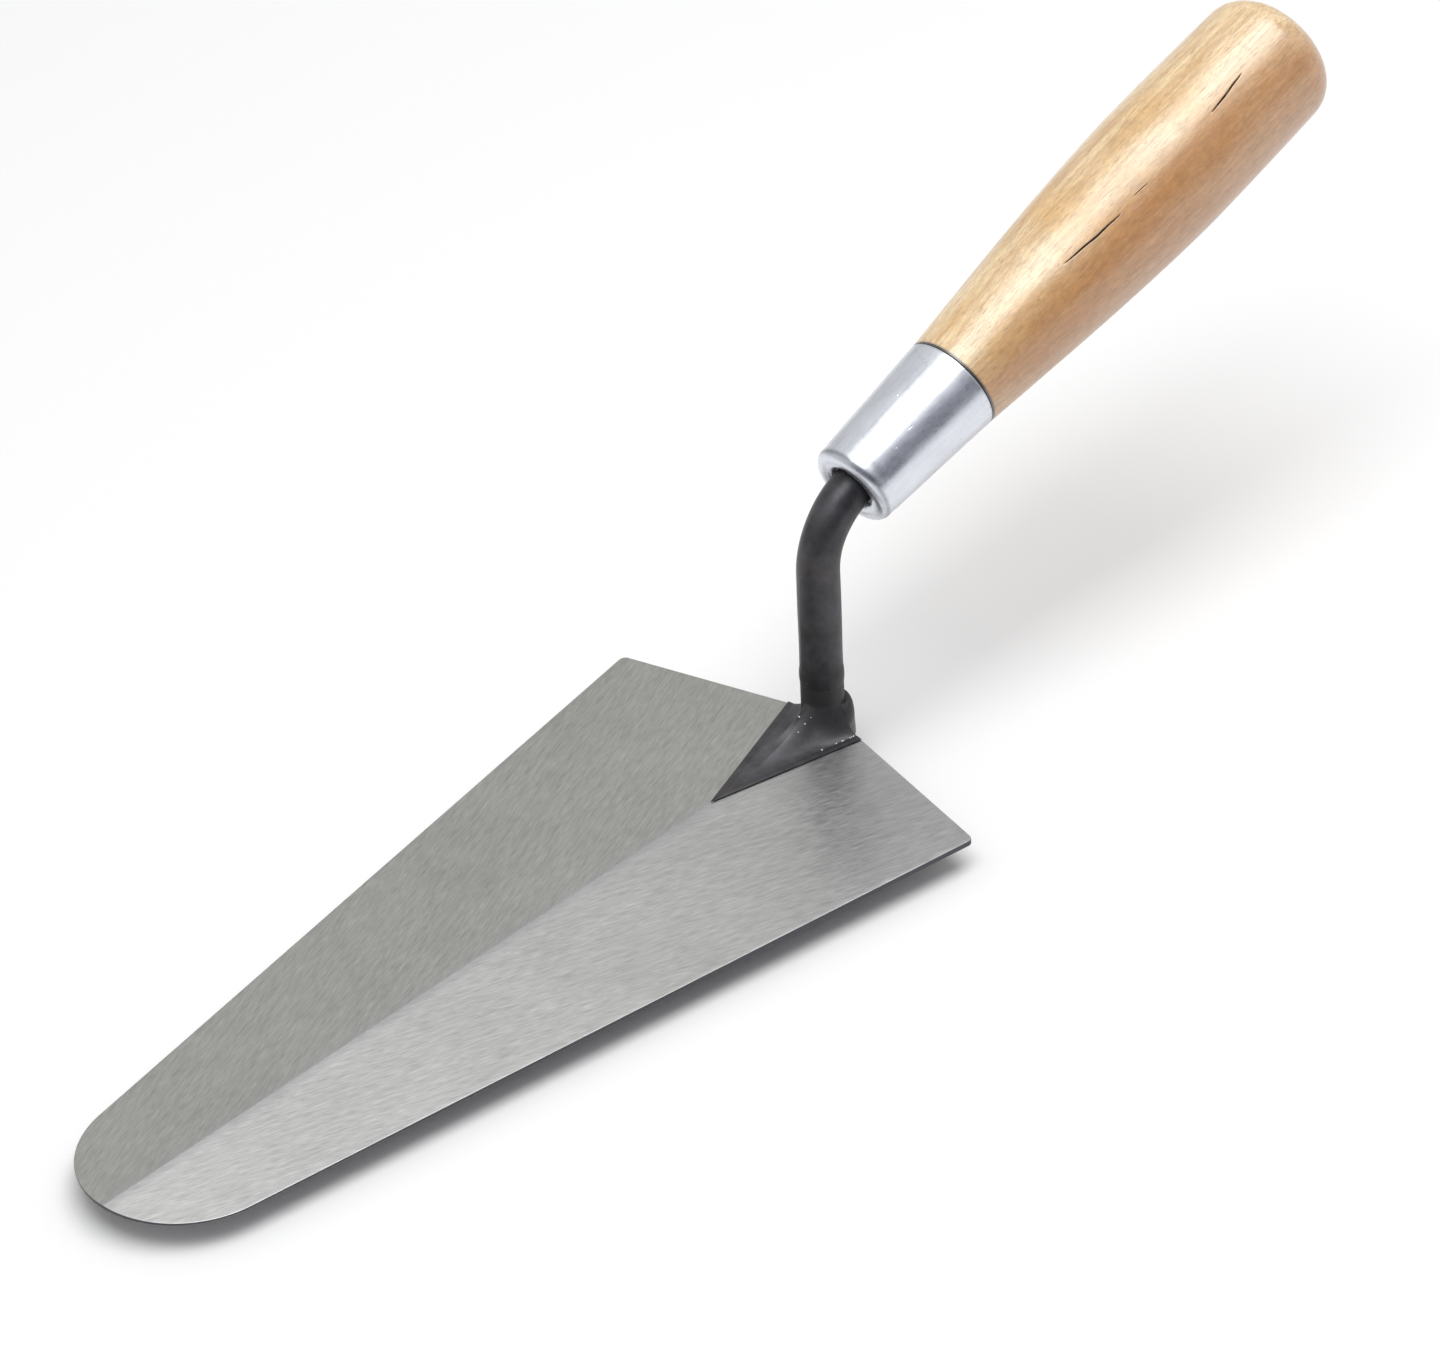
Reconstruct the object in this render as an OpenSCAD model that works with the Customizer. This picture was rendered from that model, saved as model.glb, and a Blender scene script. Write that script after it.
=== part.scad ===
// Brick trowel with a round-nosed, taper-ground steel blade, a forged foot,
// a bent rod shank, a drawn metal ferrule and a turned wooden handle.
// +X runs from the nose of the blade to the handle, +Z up from the blade.
// The origin is on the underside of the blade, at the middle of its heel.

/* [Blade] */
// Length of the blade, from the nose to the middle of the heel
blade_length = 178; // [140:1:280]
// Width of the blade across the heel corners
heel_width = 90; // [70:1:140]
// Distance that the heel corners lie forward of the middle of the heel
heel_setback = 7.9; // [4:0.1:14]
// Radius of the rounded nose
nose_radius = 20; // [12:0.5:30]
// Rounding of the two heel corners
corner_radius = 1.2; // [0.6:0.1:4]
// Thickness at the top of the ground ridge, at the heel
ridge_height = 2.4; // [1.9:0.1:3.2]
// Thickness at the end of the ridge, at the nose
nose_thickness = 0.8; // [0.6:0.05:1.4]
// Thickness of the edge at the heel corners
corner_thickness = 1.1; // [0.8:0.05:1.6]
// Sideways drift of the hand-ground ridge at the heel
ridge_drift = -1.6; // [-2:0.1:2]

/* [Foot] */
// Length of the dark foot and its welds, from the heel to the point
foot_length = 31; // [24:0.5:40]
// Width of the dark foot and its welds along the heel
foot_width = 18.8; // [17:0.2:24]
// Width of the dressed weld run along each side of the foot
weld_width = 1.3; // [0.8:0.1:1.8]
// Height of the foot's edge above the ground face of the blade
foot_edge = 0.6; // [0.4:0.05:1]
// Radius of the forged boss at the back of the foot
boss_radius = 5.9; // [5.2:0.1:6.8]
// Height at which the boss has necked in to the shank
boss_height = 8.25; // [7:0.25:12]
// Height of the butt joint between foot and shank, along the shank
joint_height = 13; // [11:0.25:18]
// Height of the ring of upset weld metal round the butt joint
ring_height = 3.4; // [2:0.2:5]
// Bulge of that ring beyond the shank
ring_bulge = 0.3; // [0.2:0.05:0.6]

/* [Shank] */
// Diameter of the round shank
shank_diameter = 8; // [7:0.1:9.5]
// Place of the shank's axis relative to the heel, at the underside
shank_offset = -0.55; // [-2:0.05:1]
// Lean of the shank towards the handle
shank_lean = 3.7; // [0:0.1:10]
// Length of the shank's axis from the underside to the start of the bend
bend_start = 34.5; // [26:0.5:50]
// Radius of the bend, on the shank's axis
bend_radius = 15.2; // [12:0.2:22]
// Rise of the handle's axis above the blade
handle_rise = 16.7; // [8:0.1:28]
// Straight length between the end of the bend and the ferrule; below 0 the bend ends inside its mouth
bend_to_ferrule = -1.5; // [-3:0.1:10]
// Diameter of the tang that the shank ends in
tang_diameter = 6.4; // [5:0.1:6.8]
// Length of the tang inside the handle, its point included
tang_length = 66; // [40:1:75]
// Length of the tang's point
tang_point = 8; // [4:0.5:14]

/* [Ferrule] */
// Length of the ferrule
ferrule_length = 28.7; // [18:0.1:36]
// Diameter of the ferrule at its mouth
ferrule_front_diameter = 16.9; // [15.5:0.1:18.5]
// Diameter of the ferrule where it meets the wood
ferrule_back_diameter = 19.7; // [18.6:0.1:22]
// Wall thickness of the ferrule
ferrule_wall = 0.8; // [0.6:0.05:1]
// Outside radius of the rolled rim
rim_radius = 2; // [1.6:0.1:2.4]
// Room between the shank and the rolled lip of the mouth, on each side
mouth_gap = 0.6; // [0.5:0.1:1.6]

/* [Handle] */
// Length of the wood behind the ferrule
handle_length = 98; // [80:1:130]
// Largest diameter of the handle
swell_diameter = 27.6; // [23:0.2:34]
// Place of the largest diameter behind the ferrule
swell_place = 60; // [45:1:68]
// Hollow of the neck's outline, as a share of the swell
neck_hollow = 0.08; // [0:0.01:0.15]
// Diameter where the rounding of the butt starts
butt_diameter = 26.8; // [22:0.2:32]
// Length of the rounded butt
butt_length = 9; // [6:0.5:12]

/* [Fits] */
// Radial room between the wooden spigot and the inside of the ferrule
spigot_fit = 0.05; // [0.02:0.01:0.15]
// Radial room between the tang and the hole in the wood
tang_fit = 0.05; // [0.02:0.01:0.15]
// Room between the bottom of the ferrule and the front of the spigot
spigot_end_gap = 0.7; // [0.3:0.1:2]
// Room between the tang's point and the end of its hole
hole_end_gap = 1.5; // [0.5:0.1:4]

/* [Hidden] */
$fn = 96;

shank_radius = shank_diameter / 2;
half_heel = heel_width / 2;
far = 3 * blade_length;                  // larger than anything that it cuts

// Rounding points
outline_steps = 40;                      // steps along a turned outline
corner_steps = 6;                        // steps along half of the foot's plan
neck_levels = 9;                         // rings up the neck of the foot

function unit(v) = v / norm(v);
function mix(a, b, t) = a + (b - a) * t;
function flip(p) = [p[0], -p[1]];

// ---- Plan of the blade: a heel, two straight edges and a round nose ----
nose_centre = [nose_radius - blade_length, 0];
heel_corner = [-heel_setback, half_heel];
to_corner = heel_corner - nose_centre;
tangent_angle = atan2(to_corner[1], to_corner[0]) + acos(nose_radius / norm(to_corner));
nose_tangent = nose_centre + nose_radius * [cos(tangent_angle), sin(tangent_angle)];

// The heel corner is rounded by a circle that touches both of its sides.
along_heel = unit([0, foot_width / 2] - heel_corner);
along_edge = unit(nose_tangent - heel_corner);
half_corner = acos(along_heel * along_edge) / 2;
corner_run = corner_radius / tan(half_corner);
corner_centre = heel_corner + unit(along_heel + along_edge) * corner_radius / sin(half_corner);

// ---- The two ground faces: each is the plane z = level + fall_x * x + fall_y * y ----
// side is 1 for the +Y face and -1 for the -Y face.
function fall_y(side) =
    side * (corner_thickness - mix(ridge_height, nose_thickness, heel_setback / blade_length))
    / (half_heel - side * mix(ridge_drift, 0, heel_setback / blade_length));
function level(side) = ridge_height - fall_y(side) * ridge_drift;
function fall_x(side) = (level(side) - nose_thickness) / blade_length;
function face_z(p, side) = level(side) + fall_x(side) * p[0] + fall_y(side) * p[1];
function roof_z(p) = min(face_z(p, 1), face_z(p, -1));
function ridge_y(x) = mix(ridge_drift, 0, -x / blade_length);

module below_face(side) {
    pitch = -atan(fall_x(side));
    roll = atan(fall_y(side) * cos(pitch));
    translate([0, 0, level(side)])
        rotate([roll, pitch, 0])
            translate([-far / 2, -far / 2, -far / 2])
                cube([far, far, far / 2]);
}

// ---- Frames of the shank: its lower straight, its bend and the handle's axis ----
lean_direction = [sin(shank_lean), 0, cos(shank_lean)];
lean_side = [cos(shank_lean), 0, -sin(shank_lean)];
rise_direction = [cos(handle_rise), 0, sin(handle_rise)];
shank_foot = [shank_offset, 0, 0];
bend_swell = 0.03;                       // the bend is a hair thicker than the straights
bend_overlap = 0.3;                      // and each straight runs this far into it
bend_centre = shank_foot + bend_start * lean_direction + bend_radius * lean_side;
bend_end = bend_centre + bend_radius * [-sin(handle_rise), 0, cos(handle_rise)];
ferrule_front = bend_end + bend_to_ferrule * rise_direction;

module on_shank(height) {
    translate(shank_foot + height * lean_direction)
        rotate([0, shank_lean, 0])
            children();
}

module on_handle(place) {
    translate(ferrule_front + place * rise_direction)
        rotate([0, 90 - handle_rise, 0])
            children();
}

// ---- Ferrule and spigot ----
rim_centre_radius = ferrule_front_diameter / 2 - rim_radius;
mouth_radius = shank_radius + mouth_gap;
spigot_front = ferrule_wall + spigot_end_gap;
tang_radius = tang_diameter / 2;
tang_end = spigot_front + tang_length;
bore_radius = tang_radius + tang_fit;

// Outer radius of the ferrule at a place behind its mouth, past the rolled rim
function ferrule_radius(place) =
    mix(ferrule_front_diameter / 2, ferrule_back_diameter / 2,
        (place - rim_radius) / (ferrule_length - rim_radius));

// ---- Outline of the handle: neck, swell, then a rounded butt ----
neck_radius = ferrule_back_diameter / 2;
swell_radius = swell_diameter / 2;
butt_radius = butt_diameter / 2;
butt_place = handle_length - butt_length;
butt_power = 2.3;                        // 2 is an ellipse, more is blunter

function neck_share(t) = sin(90 * t) - neck_hollow * sin(180 * t);
function handle_radius(place) =
    place <= swell_place
    ? mix(neck_radius, swell_radius, neck_share(place / swell_place))
    : mix(swell_radius, butt_radius,
          1 - cos(90 * (place - swell_place) / (butt_place - swell_place)));
function butt_point(angle) =
    [butt_radius * pow(cos(angle), 2 / butt_power),
     butt_place + butt_length * pow(sin(angle), 2 / butt_power)];

// ---- Plan of the foot ----
foot_point = [-foot_length, ridge_y(-foot_length)];
foot_corner = [0, foot_width / 2];
// Where the line between foot and weld meets the heel, and its point on the ridge
function weld_inset(side) =
    let (run = [0, side * foot_width / 2] - foot_point)
    weld_width * norm(run) / foot_length;
function inner_corner(side) = [0, side * (foot_width / 2 - weld_inset(side))];
inner_back = weld_width * norm(foot_corner - foot_point) / foot_corner[1];
inner_point = foot_point + inner_back * unit([0, ridge_drift] - foot_point);

boss_edge = sqrt(pow(boss_radius, 2) - pow(shank_offset, 2));
boss_turn = atan2(boss_edge, -shank_offset);
side_points = [for (i = [0 : corner_steps]) mix(inner_point, inner_corner(1), i / corner_steps)];
far_points = [for (i = [0 : corner_steps - 1]) mix(inner_corner(-1), inner_point, i / corner_steps)];
back_points = [for (i = [0 : 2 * corner_steps])
    let (angle = boss_turn * (1 - i / corner_steps))
    [shank_offset, 0] + boss_radius * [cos(angle), sin(angle)]];
foot_plan = concat(side_points, back_points, far_points);

// The boss necks in from its full radius to just inside the shank.
function boss_at(t) = mix(boss_radius, shank_radius - 0.05, pow(t, 2.4));
// The rest of the foot falls away in a hollow sweep.
function reach_at(t) = pow(1 - t, 4.5);
function foot_ring_point(p, t) =
    let (centre = [shank_offset, 0], run = p - centre, distance = norm(run),
         height = mix(roof_z(p) + foot_edge, boss_height, t),
         reach = boss_at(t) + max(0, distance - boss_radius) * reach_at(t),
         shift = tan(shank_lean) * height * t)
    [centre[0] + shift + reach * run[0] / distance, reach * run[1] / distance, height];

// Closed skin over rings of equal size, flat at both ends
module stacked_rings(rings) {
    size = len(rings[0]);
    points = [for (ring = rings, p = ring) p];
    sides = [for (k = [0 : len(rings) - 2], i = [0 : size - 1])
        let (a = k * size, b = a + size, j = (i + 1) % size)
        each [[a + i, a + j, b + j], [a + i, b + j, b + i]]];
    floor_face = [[for (i = [size - 1 : -1 : 0]) i]];
    top_face = [[for (i = [0 : size - 1]) (len(rings) - 1) * size + i]];
    polyhedron(points, concat(sides, floor_face, top_face));
}

// ---- Sub-parts ----
module blade_plan() {
    edge_start = heel_corner + along_edge * corner_run - corner_centre;
    heel_start = heel_corner + along_heel * corner_run - corner_centre;
    from = atan2(edge_start[1], edge_start[0]);
    to = atan2(heel_start[1], heel_start[0]);
    rounding = [for (i = [0 : corner_steps])
        let (angle = mix(from, to, i / corner_steps))
        corner_centre + corner_radius * [cos(angle), sin(angle)]];
    half = concat(rounding, [[0, foot_width / 2]]);
    mirrored = [for (i = [len(half) - 1 : -1 : 0]) flip(half[i])];
    nose = [for (i = [0 : outline_steps])
        let (angle = mix(-tangent_angle, tangent_angle - 360, i / outline_steps))
        nose_centre + nose_radius * [cos(angle), sin(angle)]];
    polygon(concat(half, mirrored, nose));
}

// Everything under the two ground faces, ahead of the heel
module under_blade_roof() {
    intersection() {
        below_face(1);
        below_face(-1);
        translate([-far, -far / 2, -1]) cube([far, far, far]);
    }
}

module blade() {
    color([0.66, 0.66, 0.64])
        intersection() {
            linear_extrude(2 * ridge_height) blade_plan();
            below_face(1);
            below_face(-1);
        }
}

module foot() {
    color([0.22, 0.22, 0.24])
        difference() {
            union() {
                stacked_rings(concat(
                    [[for (p = foot_plan) [p[0], p[1], 0]]],
                    [for (k = [0 : neck_levels])
                        [for (p = foot_plan) foot_ring_point(p, k / neck_levels)]]));
                neck_start = boss_height - 2;
                on_shank(neck_start) cylinder(r = shank_radius, h = joint_height - neck_start);
            }
            under_blade_roof();
        }
}

// One weld run fills the strip between the foot's side and the ground face.
module weld_run(side) {
    outer = [foot_point, [0, side * foot_width / 2]];
    inner = [inner_point, inner_corner(side)];
    toe = 0.1;                           // height of the weld's outer edge
    top = [for (p = outer) [p[0], p[1], roof_z(p) + toe],
           for (p = inner) [p[0], p[1], roof_z(p) + foot_edge]];
    base = [for (p = top) [p[0], p[1], 0]];
    faces = [[0, 1, 3], [0, 3, 2], [4, 5, 1, 0], [5, 7, 3, 1], [7, 6, 2, 3], [6, 4, 0, 2],
             [6, 7, 5, 4]];
    ordered = [for (f = faces) side > 0 ? f : [for (i = [len(f) - 1 : -1 : 0]) f[i]]];
    polyhedron(concat(top, base), ordered);
}

module foot_welds() {
    color([0.3, 0.3, 0.33])
        for (side = [1, -1])
            difference() {
                weld_run(side);
                under_blade_roof();
            }
}

module shank() {
    color([0.25, 0.25, 0.27])
        union() {
            on_shank(joint_height)
                cylinder(r = shank_radius, h = bend_start - joint_height + bend_overlap);
            translate(bend_centre)
                rotate([90, 0, 0])
                    rotate([0, 0, 90 + handle_rise])
                        rotate_extrude(angle = 90 - shank_lean - handle_rise)
                            translate([bend_radius, 0]) circle(shank_radius + bend_swell);
            on_handle(0)
                rotate_extrude()
                    polygon([[0, -bend_to_ferrule - bend_overlap],
                             [shank_radius, -bend_to_ferrule - bend_overlap],
                             [shank_radius, spigot_front], [tang_radius, spigot_front],
                             [tang_radius, tang_end - tang_point],
                             [tang_radius / 3, tang_end], [0, tang_end]]);
        }
}

module shank_weld() {
    half = ring_height / 2;
    arc_radius = (pow(half, 2) + pow(ring_bulge, 2)) / (2 * ring_bulge);
    color([0.2, 0.19, 0.2])
        on_shank(joint_height)
            rotate_extrude()
                intersection() {
                    translate([shank_radius + ring_bulge - arc_radius, 0]) circle(arc_radius);
                    translate([shank_radius, -half]) square([ring_height, 2 * half]);
                }
}

// Half outline of a cup: closed front, rounded rim, tapered side, open back
module cup_outline(front, inset, back) {
    translate([rim_centre_radius, rim_radius]) circle(rim_radius - inset);
    polygon([[0, front], [rim_centre_radius, front],
             [ferrule_radius(rim_radius) - inset, rim_radius],
             [ferrule_radius(back) - inset, back], [0, back]]);
}

module ferrule() {
    color([0.8, 0.82, 0.86])
        on_handle(0)
            rotate_extrude() {
                difference() {
                    cup_outline(0, 0, ferrule_length);
                    cup_outline(ferrule_wall, ferrule_wall, ferrule_length + 1);
                    square([mouth_radius + ferrule_wall / 2, ferrule_length + 1]);
                }
                translate([mouth_radius + ferrule_wall / 2, ferrule_wall / 2])
                    circle(ferrule_wall / 2);
            }
}

module handle() {
    spigot_inset = ferrule_wall + spigot_fit;
    outline = concat(
        [for (i = [0 : outline_steps - 1])
            let (place = butt_place * i / outline_steps)
            [handle_radius(place), ferrule_length + place]],
        [for (angle = [0 : 7.5 : 90])
            let (p = butt_point(angle)) [p[0], ferrule_length + p[1]]]);
    color([0.84, 0.66, 0.42])
        on_handle(0)
            difference() {
                union() {
                    rotate_extrude()
                        polygon(concat([[0, ferrule_length]], outline));
                    rotate_extrude()
                        polygon([[0, spigot_front],
                                 [rim_centre_radius, spigot_front],
                                 [ferrule_radius(rim_radius) - spigot_inset, rim_radius + 1],
                                 [ferrule_radius(ferrule_length) - spigot_inset, ferrule_length],
                                 [0, ferrule_length]]);
                }
                cylinder(r = bore_radius, h = tang_end + hole_end_gap);
            }
}

blade();
foot();
foot_welds();
shank();
shank_weld();
ferrule();
handle();
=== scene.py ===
"""A brick trowel: ground steel blade, forged foot with its welds, bent shank, ferrule and turned handle.

Every piece is a surface of two parameters, worked out in millimetres as whole arrays. +X runs from the nose
to the handle, +Z is up, and the origin is on the underside of the blade at the middle of its heel.
"""

import math

import bmesh
import bpy
import numpy as np
from bpy.props import FloatProperty, FloatVectorProperty, PointerProperty
from mathutils import Euler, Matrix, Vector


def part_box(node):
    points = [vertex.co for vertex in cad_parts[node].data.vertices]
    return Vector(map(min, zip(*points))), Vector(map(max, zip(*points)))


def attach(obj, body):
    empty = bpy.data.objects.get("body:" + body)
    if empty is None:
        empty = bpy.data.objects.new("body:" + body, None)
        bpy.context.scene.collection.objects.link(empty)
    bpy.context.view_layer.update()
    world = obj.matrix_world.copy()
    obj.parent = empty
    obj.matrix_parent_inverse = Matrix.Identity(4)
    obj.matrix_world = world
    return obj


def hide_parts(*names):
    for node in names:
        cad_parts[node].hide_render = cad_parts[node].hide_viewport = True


bl_info = {
    "name": "Brick trowel",
    "version": (1, 0, 0),
    "blender": (4, 5, 0),
    "location": "View3D > Sidebar > Trowel",
    "description": "Builds a brick trowel from its measured sizes, with its finishes and a plain stage",
    "category": "Add Mesh",
}

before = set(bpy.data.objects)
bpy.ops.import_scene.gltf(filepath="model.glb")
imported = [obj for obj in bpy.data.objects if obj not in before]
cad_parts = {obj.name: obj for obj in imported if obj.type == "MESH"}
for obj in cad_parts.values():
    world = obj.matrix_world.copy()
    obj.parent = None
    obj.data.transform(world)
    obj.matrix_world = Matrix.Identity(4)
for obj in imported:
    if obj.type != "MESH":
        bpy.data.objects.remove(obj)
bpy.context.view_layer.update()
MM = 0.001
BODY = "root"
SINK = 0.02          # millimetres that the foot and its welds reach into the blade, so that no gap shows


def size_of(node, axis):
    """Extent of a CAD node along an axis, in metres."""
    low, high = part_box(node)
    return high[axis] - low[axis]


def length(name, about, default, least=0.0):
    return FloatProperty(name=name, description=about, default=default, min=least, unit="LENGTH", precision=5)


def tint(name, about, default):
    return FloatVectorProperty(name=name, description=about, default=default, size=3,
                               subtype="COLOR", min=0.0, max=1.0)


# ---------------------------------------------------------------- sizes and colours

class BladeSizes(bpy.types.PropertyGroup):
    """The ground blade."""
    long: length("Length", "Nose to the middle of the heel", size_of("blade", 0))
    wide: length("Heel width", "Across the heel corners, before rounding", 0.090)
    thick: length("Ridge thickness", "Blade thickness at the heel end of its ridge", size_of("blade", 2))
    setback: length("Heel setback", "How far the heel corners lie ahead of the heel's middle", 0.0079)
    nose: length("Nose radius", "Radius of the round nose", 0.020)
    corner: length("Corner radius", "Rounding of the heel corners", 0.00125)
    nose_thick: length("Nose thickness", "Blade thickness at the nose", 0.0008)
    corner_thick: length("Corner thickness", "Blade thickness at the heel corners", 0.0011)
    drift: length("Ridge drift", "How far the ridge's heel end lies towards -Y", 0.0016)


class FootSizes(bpy.types.PropertyGroup):
    """The forged foot and its two weld runs."""
    long: length("Length", "From the heel to the foot's point", 0.031)
    wide: length("Width", "Across the foot at the heel", size_of("foot_welds", 1))
    weld: length("Weld width", "Width of each weld run", 0.0013)
    edge: length("Edge height", "Step from the blade up to the foot", 0.0006)
    boss: length("Boss radius", "Radius of the boss behind the heel", 0.0059)
    joint: length("Joint height", "Height of the joint between stub and shank", 0.013)
    ring: length("Ring height", "Height of the upset ring at that joint", 0.0034)
    bulge: length("Ring bulge", "How far the ring stands proud of the shank", 0.0003)


class ShankSizes(bpy.types.PropertyGroup):
    """The bent rod and its tang."""
    radius: length("Radius", "Radius of the rod", 0.004)
    offset: length("Offset", "How far the rod's foot lies ahead of the heel", 0.00055)
    lean: FloatProperty(name="Lean", description="Lean of the lower straight towards the handle",
                        default=math.radians(3.7), subtype="ANGLE")
    start: length("Bend start", "Length of the lower straight", 0.0345)
    bend: length("Bend radius", "Radius of the bend at the rod's centre line", 0.0152)
    rise: FloatProperty(name="Handle rise", description="Angle of the handle above the blade",
                        default=math.radians(16.7), subtype="ANGLE")
    gap: length("Bend to ferrule", "Straight between bend and ferrule; below 0 the bend ends in its mouth",
                -0.0015, -0.003)
    tang: length("Tang radius", "Radius of the tang inside the handle", 0.0032)
    tang_long: length("Tang length", "Length of the tang", 0.066)
    point: length("Tang point", "Length of the tang's tapered end", 0.008)


class FerruleSizes(bpy.types.PropertyGroup):
    """The drawn cup over the handle's spigot."""
    long: length("Length", "Length of the ferrule", 0.0287)
    front: length("Front radius", "Radius behind the rolled rim", 0.00845)
    back: length("Back radius", "Radius at the joint with the wood", size_of("ferrule", 1) / 2)
    wall: length("Wall", "Thickness of the metal", 0.0008)
    rim: length("Rim radius", "Radius of the rolled rim", 0.002)
    mouth: length("Mouth gap", "Room between the rod and the mouth", 0.0006)


class HandleSizes(bpy.types.PropertyGroup):
    """The turned wooden handle."""
    long: length("Length", "From the ferrule to the end of the butt", 0.098)
    swell: length("Swell radius", "Largest radius", size_of("handle", 1) / 2)
    swell_place: length("Swell place", "Distance of the largest radius from the ferrule", 0.060)
    butt: length("Butt radius", "Radius where the butt begins to round over", 0.0134)
    butt_long: length("Butt length", "Length of the rounded butt", 0.009)


class Finishes(bpy.types.PropertyGroup):
    """Base colours."""
    steel: tint("Ground steel", "Colour of the ground blade", (0.56, 0.558, 0.553))
    oxide: tint("Black oxide", "Colour of the forged steel", (0.047, 0.047, 0.052))
    weld: tint("Weld metal", "Colour of the dressed welds", (0.037, 0.037, 0.042))
    ferrule: tint("Ferrule metal", "Colour of the bright drawn metal", (0.73, 0.755, 0.81))
    wood: tint("Pale wood", "Colour of the early wood", (0.74, 0.56, 0.31))
    late_wood: tint("Late wood", "Colour of the darker grain", (0.56, 0.335, 0.13))
    floor: tint("Floor", "Colour of the plain floor", (0.80, 0.80, 0.80))


class StageSettings(bpy.types.PropertyGroup):
    """Light and camera."""
    box_power: FloatProperty(name="Softbox power", description="Power of the overhead softbox", default=12.6,
                             unit="POWER")
    floor_drop: length("Floor drop", "How far the floor lies below the blade", 0.0051)
    lens: FloatProperty(name="Lens", description="Focal length of the camera", default=225.0,
                        subtype="DISTANCE_CAMERA")


# ---------------------------------------------------------------- shared shapes

def unit(v):
    v = np.asarray(v, float)
    return v / np.linalg.norm(v)


def mix(a, b, t):
    return a + (b - a) * t


def smooth(t):
    """A soft step: 0 below 0, 1 above 1, three t squared less two t cubed between."""
    t = np.clip(t, 0.0, 1.0)
    return t * t * (3 - 2 * t)


def ripple(a, b, seed, wave, count=7):
    """Smooth unevenness of about -1 to 1: a sum of sines in seeded directions, each about one wave long."""
    draw = np.random.default_rng(seed)
    total = 0.0
    for _ in range(count):
        turn, phase, stretch = draw.uniform(0, 2 * np.pi), draw.uniform(0, 2 * np.pi), draw.uniform(0.6, 1.7)
        total = total + np.sin((a * np.cos(turn) + b * np.sin(turn)) * 2 * np.pi / (wave * stretch) + phase)
    return total / count ** 0.5 / 1.4


def grid_faces(rows, columns):
    """Quads of a grid whose last column joins its first."""
    row = np.arange(rows - 1)[:, None] * columns
    here = np.arange(columns)[None, :]
    after = (here + 1) % columns
    return np.stack([row + here, row + after, row + columns + after, row + columns + here], -1).reshape(-1, 4)


def volume(points, faces):
    """Signed volume inside quads: a sixth of the triple product of each triangle's corners, summed."""
    a, b, c, d = (points[faces[:, k]] for k in range(4))
    return (np.einsum("ij,ij->", a, np.cross(b, c)) + np.einsum("ij,ij->", a, np.cross(c, d))) / 6


def build(name, sheets, finish, node, marks=None, sharp=32):
    """One closed piece from grids in millimetres. Each grid closes round its columns, and its ends are poles
    or meet each other. Coincident points are merged, and faces are turned outwards by the sign of the
    volume."""
    points, faces, start = [], [], 0
    for sheet in sheets:
        flat = sheet.reshape(-1, 3)
        quads = grid_faces(sheet.shape[0], sheet.shape[1])
        if volume(flat - flat.mean(0), quads) < 0:
            quads = quads[:, ::-1]
        points.append(flat)
        faces.append(quads + start)
        start += len(flat)
    points, faces = np.concatenate(points) * MM, np.concatenate(faces)
    mesh = bpy.data.meshes.new(name)
    mesh.from_pydata(points.tolist(), [], faces.tolist())
    for mark, values in (marks or {}).items():
        layer = mesh.attributes.new(mark, "FLOAT", "POINT")
        layer.data.foreach_set("value", np.asarray(values, np.float32).ravel())
    shell = bmesh.new()
    shell.from_mesh(mesh)
    bmesh.ops.remove_doubles(shell, verts=shell.verts, dist=2e-7)
    bmesh.ops.dissolve_degenerate(shell, edges=shell.edges, dist=1e-8)
    shell.to_mesh(mesh)
    shell.free()
    mesh.shade_smooth()
    mesh.set_sharp_from_angle(angle=math.radians(sharp))
    mesh.materials.append(finish)
    piece = bpy.data.objects.new(name, mesh)
    bpy.context.scene.collection.objects.link(piece)
    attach(piece, BODY)
    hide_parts(node)


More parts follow.
